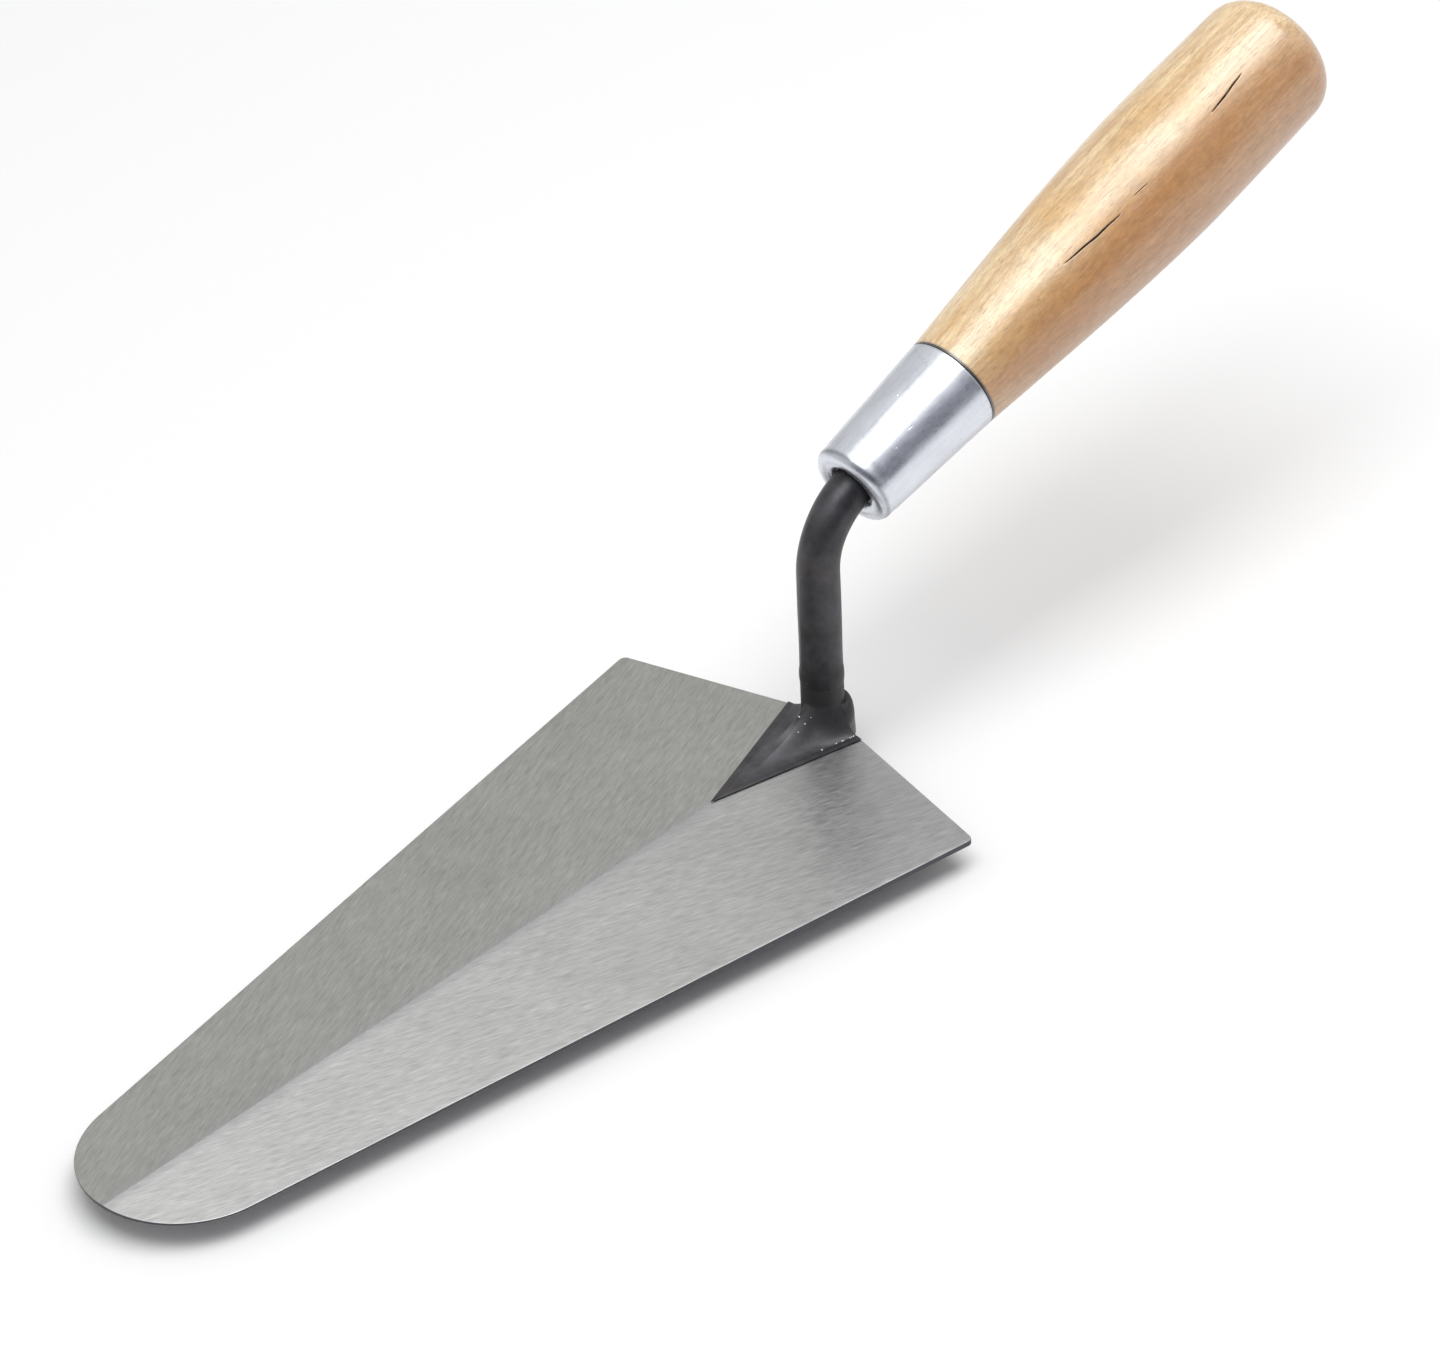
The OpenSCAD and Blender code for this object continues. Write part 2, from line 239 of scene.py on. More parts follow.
class Plan:
    """All sizes in millimetres, and the frames that the pieces share."""

    def __init__(self, scene):
        for prefix in ("blade", "foot", "shank", "ferrule", "handle"):
            group = getattr(scene, "trowel_" + prefix)
            for key, prop in group.bl_rna.properties.items():
                if prop.type == "FLOAT" and not prop.is_array:
                    scale = 1 if prop.subtype == "ANGLE" else 1 / MM
                    setattr(self, prefix + "_" + key, round(getattr(group, key) * scale, 6))
        self.lean_way = np.array([math.sin(self.shank_lean), 0, math.cos(self.shank_lean)])
        self.lean_side = np.array([math.cos(self.shank_lean), 0, -math.sin(self.shank_lean)])
        rise = self.shank_rise
        self.rise_way = np.array([math.cos(rise), 0, math.sin(rise)])
        self.over = np.array([-math.sin(rise), 0, math.cos(rise)])
        self.side = np.array([0, 1.0, 0])
        self.shank_foot = np.array([-self.shank_offset, 0, 0])
        self.bend_centre = (self.shank_foot + self.shank_start * self.lean_way
                            + self.shank_bend * self.lean_side)
        self.mouth = self.bend_centre + self.shank_bend * self.over + self.shank_gap * self.rise_way
        self.spigot = self.ferrule_wall + 0.7
        self.rim_centre = self.ferrule_front - self.ferrule_rim
        self.pad_edge = 0.65 * self.foot_edge        # the step is lower beside the pad than round the boss
        self.tang_end = self.spigot + self.shank_tang_long

    def ridge_y(self, x):
        """The ridge runs straight from the middle of the nose to a heel end that drifts towards -Y."""
        return -self.blade_drift * (1 + x / self.blade_long)

    def roof(self, x, y):
        """Top of the blade: the lower of two planes that meet in the ridge."""
        share = self.blade_setback / self.blade_long
        heights = []
        for side in (1, -1):
            fall = side * (self.blade_corner_thick - mix(self.blade_thick, self.blade_nose_thick, share))
            fall /= self.blade_wide / 2 + side * self.blade_drift * (1 - share)
            level = self.blade_thick + fall * self.blade_drift
            heights.append(level + (level - self.blade_nose_thick) / self.blade_long * x + fall * y)
        return np.minimum(*heights)

    def round_axis(self, place, radius, angle):
        """Points round the handle's axis: place behind the ferrule's mouth, radius, and angle from +Y."""
        place, radius, angle = np.broadcast_arrays(place, radius, angle)
        return (self.mouth + place[..., None] * self.rise_way
                + (radius * np.cos(angle))[..., None] * self.side
                + (radius * np.sin(angle))[..., None] * self.over)

    def ferrule_radius(self, place):
        return mix(self.ferrule_front, self.ferrule_back,
                   (place - self.ferrule_rim) / (self.ferrule_long - self.ferrule_rim))


# ---------------------------------------------------------------- finishes

class Nodes:
    """Short ways to add nodes to a shader tree."""

    def __init__(self, tree):
        self.tree = tree

    def add(self, kind, inputs=(), out=0, **settings):
        """Adds a node. Inputs are keyed by name or number, and hold a socket or a value."""
        node = self.tree.nodes.new("ShaderNode" + kind)
        for key, value in settings.items():
            setattr(node, key, value)
        for key, value in dict(inputs).items():
            if isinstance(value, bpy.types.NodeSocket):
                self.tree.links.new(value, node.inputs[key])
            else:
                node.inputs[key].default_value = value
        return node.outputs[out]

    def math(self, operation, a, b=0.0, c=0.0):
        return self.add("Math", {0: a, 1: b, 2: c}, operation=operation)

    def split(self, vector):
        """The three parts of a vector."""
        return tuple(self.add("SeparateXYZ", {0: vector}).node.outputs)

    def place(self, turn=(0, 0, 0), scale=(1, 1, 1), vector=None):
        vector = vector or self.add("TexCoord", out="Object")
        return self.add("Mapping", {"Vector": vector, "Rotation": turn, "Scale": scale})

    def noise(self, vector, scale=1.0, detail=2.0, rough=0.5, warp=0.0):
        return self.add("TexNoise", {"Vector": vector, "Scale": scale, "Detail": detail, "Roughness": rough,
                                     "Distortion": warp}, out="Fac")

    def levels(self, value, low, high, to_low=0.0, to_high=1.0, kind="LINEAR"):
        return self.add("MapRange", {"Value": value, "From Min": low, "From Max": high, "To Min": to_low,
                                     "To Max": to_high}, interpolation_type=kind)

    def blend(self, share, a, b, kind="MIX"):
        """Mixes two colours."""
        colour = [(*v, 1.0) if isinstance(v, (tuple, list)) and len(v) == 3 else v for v in (a, b)]
        return self.add("Mix", {0: share, 6: colour[0], 7: colour[1]}, out=2, data_type="RGBA",
                        blend_type=kind)

    def mark(self, name):
        return self.add("Attribute", out="Fac", attribute_name=name)

    def bump(self, height, distance, strength=1.0, under=None):
        inputs = {"Height": height, "Distance": distance, "Strength": strength}
        if under is not None:
            inputs["Normal"] = under
        return self.add("Bump", inputs)


class Finish(Nodes):
    """A material with its nodes."""

    def __init__(self, name):
        self.material = bpy.data.materials.new(name)
        self.material.use_nodes = True
        super().__init__(self.material.node_tree)
        self.shader = self.tree.nodes["Principled BSDF"]

    def end(self, **sockets):
        """Sets the shader's inputs: plain values on the socket itself, and worked-out ones by a link."""
        for key, value in sockets.items():
            socket = self.shader.inputs[key.replace("_", " ")]
            if isinstance(value, bpy.types.NodeSocket):
                self.tree.links.new(value, socket)
            elif socket.type == "RGBA":
                socket.default_value = (*value, 1.0)
            else:
                socket.default_value = value
        return self.material


def colour_of(scene, key):
    return tuple(getattr(scene.trowel_finishes, key))


def ground_steel(scene, plan):
    """Brushed steel: fine lines that fan out from the ridge at 21 degrees on each ground face. Painted light:
    the +Y face is painted darker and warmer than the -Y face, the -Y face brightens towards the nose as a
    painted highlight, and the edge wall is painted dark as reflected shade.
    """
    f = Finish("ground_steel")
    x, y, _ = f.split(f.add("TexCoord", out="Object"))
    drift = plan.blade_drift * MM
    off_ridge = f.math("ADD", y, f.math("MULTIPLY_ADD", x, drift / (plan.blade_long * MM), drift))
    away = f.math("ABSOLUTE", off_ridge)
    near_side = f.levels(off_ridge, 0.0002, -0.0002)
    brush = math.radians(21)
    cos, sin = math.cos(brush), math.sin(brush)
    along = f.math("ADD", f.math("MULTIPLY", x, cos), f.math("MULTIPLY", away, sin))
    across = f.math("SUBTRACT", f.math("MULTIPLY", away, cos), f.math("MULTIPLY", x, sin))
    lines = f.add("CombineXYZ", {0: along, 1: across, 2: near_side})
    fine = f.noise(f.place(scale=(330, 3600, 3), vector=lines), detail=3, rough=0.6)
    broad = f.noise(f.place(scale=(120, 1100, 3), vector=lines), detail=3, rough=0.6)
    stains = f.noise(f.place(scale=(38, 38, 38)), detail=4, rough=0.6)
    scratch = f.levels(f.noise(f.place(scale=(14, 2600, 5), vector=lines), detail=1), 0.70, 0.76)
    tone = f.math("ADD", f.levels(fine, 0.3, 0.7, -0.15, 0.15), f.levels(broad, 0.3, 0.7, -0.09, 0.09))
    tone = f.math("ADD", tone, f.levels(stains, 0.3, 0.7, -0.03, 0.03))
    # Painted light: the -Y face brightens towards the nose as a painted highlight, and the +Y face is painted
    # darker and a little warmer, as painted shade on the same steel.
    painted_highlight_to_nose = f.levels(x, -0.005, -0.17, 0.77, 1.14)
    painted_face_light = f.add("Mix", {0: near_side, 2: 0.71, 3: painted_highlight_to_nose}, data_type="FLOAT")
    tone = f.math("MULTIPLY", f.math("ADD", tone, 1.0), painted_face_light)
    tone = f.math("SUBTRACT", tone, f.math("MULTIPLY", scratch, 0.05))
    steel = f.blend(near_side, tuple(v * w for v, w in zip(colour_of(scene, "steel"), (1.0, 1.0, 0.955))),
                    colour_of(scene, "steel"))
    base = f.blend(1.0, steel, f.add("CombineColor", {0: tone, 1: tone, 2: tone}), "MULTIPLY")
    beside_ridge = f.math("MULTIPLY", f.levels(away, 0.0022, 0.0006), 0.35)
    base = f.blend(beside_ridge, base, (0.40, 0.39, 0.42))
    # Painted shade: the upright edge wall is painted dark, standing in for the shaded floor that it reflects.
    wall = f.mark("edge_wall")
    base = f.blend(wall, base, (0.09, 0.09, 0.10))
    rough = f.math("ADD", f.levels(fine, 0.3, 0.7, 0.34, 0.44), f.levels(stains, 0.3, 0.7, -0.02, 0.03))
    lines_bump = f.bump(broad, 0.00004, 0.25, f.bump(fine, 0.00002, 0.35))
    return f.end(Base_Color=base, Metallic=1.0, Roughness=rough, Normal=lines_bump)


def black_oxide(name, tinted, rough_low, rough_high):
    """Forged steel under dark scale: cloudy tone, fine pitting, brown bloom and a few worn bright grains. One
    mark darkens and dulls it: heat scale by the welds and the joint, and painted shade on the foot's -Y
    flank. Another gives it the colour of bare metal: real on the spatter grains, and a painted highlight
    along the foot's web."""
    f = Finish(name)
    cloud = f.noise(f.place(scale=(180, 180, 180)), detail=5, rough=0.62)
    grit = f.noise(f.place(scale=(1500, 1500, 1500)), detail=3, rough=0.6)
    drawn = f.noise(f.place(scale=(900, 900, 60)), detail=2)
    bloom = f.levels(f.noise(f.place(scale=(95, 95, 95)), detail=3), 0.5, 0.72)
    dark = tuple(0.62 * v for v in tinted)
    light = tuple(min(1.0, 1.8 * v) for v in tinted)
    base = f.blend(f.levels(cloud, 0.3, 0.7), dark, light)
    base = f.blend(f.math("MULTIPLY", bloom, 0.35), base, (0.10, 0.075, 0.060))
    # Heat scale and painted shade: this mark darkens and dulls the steel at the welds and the joint as real
    # scale, and on the foot's -Y flank as painted shade.
    scale_and_shade_zone = f.mark("heated")
    base = f.blend(f.math("MULTIPLY", scale_and_shade_zone, 0.8), base, (0.040, 0.037, 0.038))
    worn = f.levels(grit, 0.74, 0.80)
    base = f.blend(f.math("MULTIPLY", worn, 0.55), base, (0.42, 0.42, 0.44))
    # Bare metal colour: real on the spatter grains, and a painted highlight along the foot's web crest.
    bright = f.mark("bright")
    base = f.blend(bright, base, (0.85, 0.86, 0.88))
    rough = f.levels(cloud, 0.3, 0.7, rough_low, rough_high)
    rough = f.math("ADD", rough, f.levels(grit, 0.3, 0.7, -0.05, 0.05))
    rough = f.math("MULTIPLY_ADD", scale_and_shade_zone, 0.15, rough)
    pits = f.bump(grit, 0.00005, 0.35)
    return f.end(Base_Color=base, Metallic=0.55, Roughness=rough, Specular_IOR_Level=0.5,
                 Normal=f.bump(f.math("ADD", cloud, drawn), 0.00010, 0.30, pits))


def ferrule_metal(scene, plan):
    """Bright drawn metal: lines along the axis, faint clouds, small nicks, and darkening where its mark lies:
    a painted dark reflection round the rim, and dark lines at the joint and along the side."""
    f = Finish("ferrule_metal")
    aligned = f.place(turn=(0, plan.shank_rise, 0))
    drawn = f.noise(f.place(scale=(60, 2200, 2200), vector=aligned), detail=3, rough=0.6)
    cloud = f.noise(f.place(scale=(120, 260, 260), vector=aligned), detail=4, rough=0.6)
    grain = f.noise(f.place(scale=(900, 1500, 1500), vector=aligned), detail=3, rough=0.65)
    nicks = f.levels(f.noise(f.place(scale=(420, 700, 700), vector=aligned), detail=2), 0.74, 0.79)
    tone = f.math("ADD", f.levels(cloud, 0.3, 0.7, 0.92, 1.04), f.levels(drawn, 0.3, 0.7, -0.05, 0.05))
    metal = colour_of(scene, "ferrule")
    base = f.blend(1.0, metal, f.add("CombineColor", {0: tone, 1: tone, 2: tone}), "MULTIPLY")
    base = f.blend(f.math("MULTIPLY", nicks, 0.6), base, (0.30, 0.31, 0.34))
    # Painted dark reflection round the rim, with dark lines at the joint and along the side.
    grime = f.math("MULTIPLY", f.mark("grime"), f.levels(cloud, 0.3, 0.7, 0.75, 0.45))
    base = f.blend(grime, base, (0.16, 0.165, 0.19))
    rough = f.math("ADD", f.levels(cloud, 0.3, 0.7, 0.25, 0.33), f.levels(grain, 0.3, 0.7, -0.03, 0.05))
    lines = f.bump(drawn, 0.00002, 0.16)
    lines = f.bump(grain, 0.00003, 0.16, lines)
    return f.end(Base_Color=base, Metallic=1.0, Roughness=rough, Normal=f.bump(nicks, -0.00008, 0.8, lines))


def lacquered_wood(scene, plan):
    """Pale hardwood under clear lacquer: growth rings off the axis, fibres, short pores, ochre clouds, and a
    darker, redder tone on the -Y side."""
    f = Finish("lacquered_wood")
    aligned = f.place(turn=(0, plan.shank_rise, 0))
    flow = f.noise(f.place(scale=(9, 60, 60), vector=aligned), detail=3)
    x, y, z = f.split(aligned)
    u, v = f.math("ADD", y, 0.031), f.math("ADD", z, -0.075)
    from_pith = f.math("SQRT", f.math("ADD", f.math("MULTIPLY", u, u), f.math("MULTIPLY", v, v)))
    from_pith = f.math("ADD", from_pith, f.math("MULTIPLY", x, 0.055))
    from_pith = f.math("ADD", from_pith, f.math("MULTIPLY", flow, 0.010))
    ring = f.math("FRACT", f.math("MULTIPLY", from_pith, 330.0))
    ring = f.math("POWER", ring, 4.0)
    fibre = f.noise(f.place(scale=(70, 1500, 1500), vector=aligned), detail=4, rough=0.65)
    streak = f.noise(f.place(scale=(17, 260, 260), vector=aligned), detail=4, rough=0.6)
    cloud = f.noise(f.place(scale=(48, 110, 110), vector=aligned), detail=4, rough=0.6)
    fuzz = f.noise(f.place(scale=(420, 1300, 1300), vector=aligned), detail=4, rough=0.75)
    pore = f.levels(f.noise(f.place(scale=(480, 3800, 3800), vector=aligned), detail=1), 0.62, 0.69)
    fleck = f.levels(f.noise(f.place(scale=(260, 2300, 2300), vector=aligned), detail=1), 0.64, 0.71)
    wood, late = colour_of(scene, "wood"), colour_of(scene, "late_wood")
    base = f.blend(f.levels(streak, 0.45, 0.62, 0.0, 0.85), wood, late)
    base = f.blend(f.math("MULTIPLY", ring, 0.30), base, late)
    base = f.blend(f.levels(cloud, 0.48, 0.66, 0.0, 0.80), base, (0.62, 0.36, 0.11))
    base = f.blend(f.levels(cloud, 0.46, 0.30, 0.0, 0.60), base, (0.79, 0.61, 0.39))
    base = f.blend(f.levels(fibre, 0.45, 0.62, 0.0, 0.50), base, (0.46, 0.26, 0.095))
    base = f.blend(f.math("MULTIPLY", fleck, 0.35), base, (0.42, 0.22, 0.09))
    base = f.blend(f.math("MULTIPLY", pore, 0.55), base, (0.33, 0.16, 0.06))
    # Darker and redder towards the -Y side.
    darker_minus_y_side = f.levels(f.math("MULTIPLY_ADD", flow, -0.006, y), -0.0088, -0.0138)
    base = f.blend(f.math("MULTIPLY", darker_minus_y_side, 0.70), base, (0.40, 0.140, 0.020))
    tone = f.levels(fuzz, 0.3, 0.7, 0.80, 1.22)
    base = f.blend(1.0, base, f.add("CombineColor", {0: tone, 1: tone, 2: tone}), "MULTIPLY")
    crack = f.mark("crack")
    # Near black in the cracks, at the joint behind the ferrule, and as painted shade on the wood hidden
    # inside the ferrule.
    base = f.blend(f.levels(crack, 0.05, 0.28, 0.0, 1.0), base, (0.012, 0.005, 0.003))
    rough = f.math("ADD", f.levels(fibre, 0.3, 0.7, 0.40, 0.52), f.math("MULTIPLY", pore, 0.2))
    under = f.bump(fibre, 0.00003, 0.25)
    under = f.bump(pore, -0.00005, 0.5, under)
    return f.end(Base_Color=base, Roughness=rough, Normal=under, Coat_Weight=1.0, Coat_Roughness=0.32,
                 Coat_IOR=1.90, Specular_IOR_Level=0.5)


# ---------------------------------------------------------------- pieces

def blade_outline(plan):
    """Half outline from the middle of the nose to the middle of the heel: nose arc, straight edge, rounded
    corner, straight heel. The nose arc and the corner arc touch the lines on both of their sides."""
    half, back, nose = plan.blade_wide / 2, plan.blade_setback, plan.blade_nose
    centre = np.array([nose - plan.blade_long, 0.0])
    corner = np.array([-back, half])
    gap = corner - centre
    touch = math.atan2(gap[1], gap[0]) + math.acos(nose / np.linalg.norm(gap))
    tangent = centre + nose * np.array([math.cos(touch), math.sin(touch)])
    heel = np.array([0.0, plan.foot_wide / 2])
    along_heel, along_edge = unit(heel - corner), unit(tangent - corner)
    opening = math.acos(along_heel @ along_edge) / 2
    run = plan.blade_corner / math.tan(opening)
    round_centre = corner + unit(along_heel + along_edge) * plan.blade_corner / math.sin(opening)
    start, stop = corner + along_edge * run, corner + along_heel * run
    angle = np.linspace(math.pi, touch, 60)
    arc = centre + nose * np.stack([np.cos(angle), np.sin(angle)], -1)
    edge = mix(tangent, start, np.linspace(0, 1, 130)[1:, None])
    first = math.atan2(*(start - round_centre)[::-1])
    last = math.atan2(*(stop - round_centre)[::-1])
    angle = np.linspace(first, last, 10)[1:]
    turn = round_centre + plan.blade_corner * np.stack([np.cos(angle), np.sin(angle)], -1)
    slope = mix(stop, heel, np.linspace(0, 1, 34)[1:, None])
    flat = np.stack([np.zeros(12), np.linspace(heel[1], 0, 13)[1:]], -1)
    return np.concatenate([arc, edge, turn, slope, flat])


def make_blade(scene, plan):
    """The outline carried inwards to the ridge. Each outline point has a partner on the ridge at the same x,
    kept between the nose's centre and a spot ahead of the heel, and the top between them lies on the lower of
    the two ground planes. The wall is upright, with small rounded arrises."""
    half = blade_outline(plan)
    outline = np.concatenate([half, half[-2:0:-1] * [1, -1]])
    on_heel = np.isclose(outline[:, 0], 0) & np.isclose(outline[:, 1], 0)
    outline[on_heel] = [0.0, -plan.blade_drift]
    spine_end = -20.0                                # lies under the foot
    spine_x = np.clip(outline[:, 0], plan.blade_nose - plan.blade_long, spine_end)
    spine = np.stack([spine_x, plan.ridge_y(spine_x)], -1)
    away = spine - outline
    reach = np.linalg.norm(away, axis=1)
    arris, sag = 0.12, 0.012
    bend = np.linspace(0, np.pi / 2, 6)
    inset, drop = arris * (1 - np.sin(bend)), arris * (1 - np.cos(bend))
    inwards = np.concatenate([np.linspace(0, 1, 22)[1:-1] ** 1.2, [0.985, 1.0]])

    def inside(depth):
        return outline + away / reach[:, None] * depth[:, None]

    def ring(depth, height):
        return np.concatenate([inside(depth), height[:, None]], 1)

    rows, wall = [], []
    ones = np.ones(len(outline))
    for share in inwards[::-1]:
        rows.append(ring(mix(arris, reach, share), 0 * ones))
        wall.append(0.0)
    for k in range(len(bend)):
        rows.append(ring(inset[k] * ones, drop[k] * ones))
        wall.append(1.0)
    top = plan.roof(outline[:, 0], outline[:, 1])
    for k in reversed(range(len(bend))):
        rows.append(ring(inset[k] * ones, top - drop[k]))
        wall.append(1.0 if k > 2 else 0.0)
    for share in inwards:
        depth = mix(arris, reach, share)
        spot = inside(depth)
        hollow = sag * ripple(spot[:, 0], spot[:, 1], 11, 34.0) * (1 - share)
        rows.append(ring(depth, plan.roof(spot[:, 0], spot[:, 1]) - sag + hollow))
        wall.append(0.0)
    sheet = np.stack(rows)
    # The wall mark picks out the upright edge wall, which the steel finish paints dark as painted shade.
    marks = {"edge_wall": np.repeat(np.array(wall), sheet.shape[1])}
    build("blade_ground", [sheet], ground_steel(scene, plan), "blade", marks)


def foot_lines(plan):
    """Corner points of the foot's plan: its point on the ridge, and where weld and foot meet on the heel."""
    half = plan.foot_wide / 2
    point = np.array([-plan.foot_long, plan.ridge_y(-plan.foot_long)])
    corners = {}
    for side in (1, -1):
        run = np.linalg.norm(np.array([0, side * half]) - point)
        corners[side] = np.array([0, side * (half - plan.foot_weld * run / plan.foot_long)])
    back = plan.foot_weld * np.linalg.norm(np.array([0, half]) - point) / half
    inner = point + back * unit(np.array([0, -plan.blade_drift]) - point)
    return point, inner, corners


def make_foot(scene, plan):
    """Rings over the foot's plan. Round the boss's centre each direction has its own cubic curve from the
    edge of the plan up to the neck: a long web ahead, a sloping flank towards -Y, a flat pad towards +Y, and
    a full boss behind the heel. A few grains of spatter lie where the web meets the neck."""
    _, inner, corners = foot_lines(plan)
    centre = plan.shank_foot[:2]
    boss = plan.foot_boss
    edge_y = math.sqrt(boss ** 2 - centre[0] ** 2)
    turn = math.atan2(edge_y, -centre[0])
    side = mix(inner, corners[1], np.linspace(0, 1, 70)[:, None] ** 0.85)
    far = mix(corners[-1], inner, 1 - np.linspace(1, 0, 70)[:-1, None] ** 0.85)
    step = mix(corners[1], np.array([0, edge_y]), np.linspace(0, 1, 8)[1:, None])
    step_back = mix(np.array([0, -edge_y]), corners[-1], np.linspace(0, 1, 8)[:-1, None])
    angle = np.linspace(turn, -turn, 72)
    arc = centre + boss * np.stack([np.cos(angle), np.sin(angle)], -1)
    arc[0], arc[-1] = [0, edge_y], [0, -edge_y]
    outline = np.concatenate([side, step, arc, step_back, far])
    behind = np.zeros(len(outline), bool)
    behind[len(side) + len(step):len(side) + len(step) + len(arc)] = True
    roof = plan.roof(outline[:, 0], outline[:, 1])
    base = np.where(behind, 0.0, roof - SINK)

    run = outline - centre
    distance = np.linalg.norm(run, axis=1)
    way = run / distance[:, None]
    ahead = np.degrees(np.arctan2(way[:, 1], -way[:, 0]))        # 0 is straight ahead, 180 straight behind
    off_web = ahead - 2.0
    web = np.exp(-np.abs(off_web / np.where(off_web > 0, 13.0, 22.0)) ** 2.4)
    rear = smooth((np.abs(ahead) - 70.0) / 56.0)
    left = smooth((ahead + 14.0) / 40.0)

    def of(front, near, far, back):
        return web * front + (1 - web) * (rear * back + (1 - rear) * mix(near, far, left))

    neck = plan.shank_radius + 0.02
    curve_r = [distance, of(12.0, 6.3, 5.0, 5.95), of(7.2, 4.8, 4.1, 5.85), neck * np.ones(len(distance))]
    start = roof + np.where(behind, plan.foot_edge, plan.pad_edge)
    curve_z = [start, start + of(0.40, 0.5, 0.03, 2.4), start + of(2.3, 2.7, 0.4, 4.5),
               of(8.4, 8.0, 6.0, 7.0)]
    rows, heated = [], []
    for share in np.linspace(0, 1, 9)[:-1]:
        rows.append((outline * share, base))
        heated.append(0.0)
    lip = 0.12                                       # room for the edge's rounding, above the wall
    for share in (0.0, 0.5, 0.86):
        rows.append((outline, mix(base, start - lip, share)))
        heated.append(0.0)
    under = len(rows)
    near_side = smooth(-off_web / 18.0)
    for t in np.linspace(0, 1, 44):
        weights = [(1 - t) ** 3, 3 * t * (1 - t) ** 2, 3 * t * t * (1 - t), t ** 3]
        reach = sum(w * c for w, c in zip(weights, curve_r))
        height = sum(w * c for w, c in zip(weights, curve_z))
        if t == 0:
            reach = reach - 0.02
        wobble = 0.07 * ripple(reach * way[:, 0] + height, reach * way[:, 1], 5, 6.0)
        reach = reach + wobble * math.sin(math.pi * t)
        spot = centre + way * reach[:, None]
        spot[:, 0] += math.tan(plan.shank_lean) * height * t
        rows.append((spot, height))
        # Painted shade and heat scale: the darkening starts low on the -Y flank as painted shade, and higher
        # on the other sides, rising to the neck's scale.
        heated.append(smooth((t - mix(0.45, 0.05, near_side)) / 0.3))
    sheet = np.stack([np.concatenate([s, z[:, None]], 1) for s, z in rows])
    grains = []
    for look, level, size in ((1.0, 6.6, 0.20), (-14.0, 5.9, 0.17), (-11.0, 5.0, 0.14), (-20.0, 6.5, 0.10)):
        column = np.argmin(np.abs(ahead - look))
        row = under + np.argmin(np.abs(sheet[under:, column, 2] - level))
        grains.append(bead(sheet[row, column], size))
    top = plan.foot_joint
    stub = []
    flat = way * neck
    for share in np.linspace(0, 1, 9)[1:]:
        along = mix(curve_z[3], top, share) / math.cos(plan.shank_lean)
        spot = plan.shank_foot + along[:, None] * plan.lean_way
        stub.append(np.stack([spot[:, 0] + flat[:, 0], flat[:, 1], spot[:, 2]], -1))
        heated.append(1.0)
    crown = plan.shank_foot + top / math.cos(plan.shank_lean) * plan.lean_way
    sheet = np.concatenate([sheet, np.stack(stub), np.repeat(crown[None], len(outline), 0)[None]])
    heated.append(1.0)
    reach, level = np.linalg.norm(sheet[..., :2] - centre, axis=-1), sheet[..., 2]
    # Painted highlight: a strip along the web's crest is given bare metal colour, standing in for the
    # highlight that runs along it.
    painted_crest_highlight = np.exp(-((ahead - 1) / 7) ** 2) * smooth((13 - reach) / 5) * smooth((6.5 - level) / 2)
    painted_crest_highlight = 0.17 * painted_crest_highlight * (level > 2.8)
    of_grains = np.ones(sum(g[..., 0].size for g in grains))
    marks = {"heated": np.concatenate([np.broadcast_to(h, len(outline)) for h in heated] + [0 * of_grains]),
             "bright": np.concatenate([painted_crest_highlight.ravel(), of_grains])}
    finish = black_oxide("forged_scale", colour_of(scene, "oxide"), 0.30, 0.44)
    build("foot_forged", [sheet] + grains, finish, "foot", marks, sharp=40)


def bead(spot, radius):
    """A small round grain of spatter: a sphere by latitude and longitude."""
    up, around = np.linspace(0, np.pi, 7)[:, None], np.linspace(0, 2 * np.pi, 9)[:-1][None]
    up, around = np.broadcast_arrays(up, around)
    ball = np.stack([np.sin(up) * np.cos(around), np.sin(up) * np.sin(around), np.cos(up)], -1)
    return spot + radius * ball


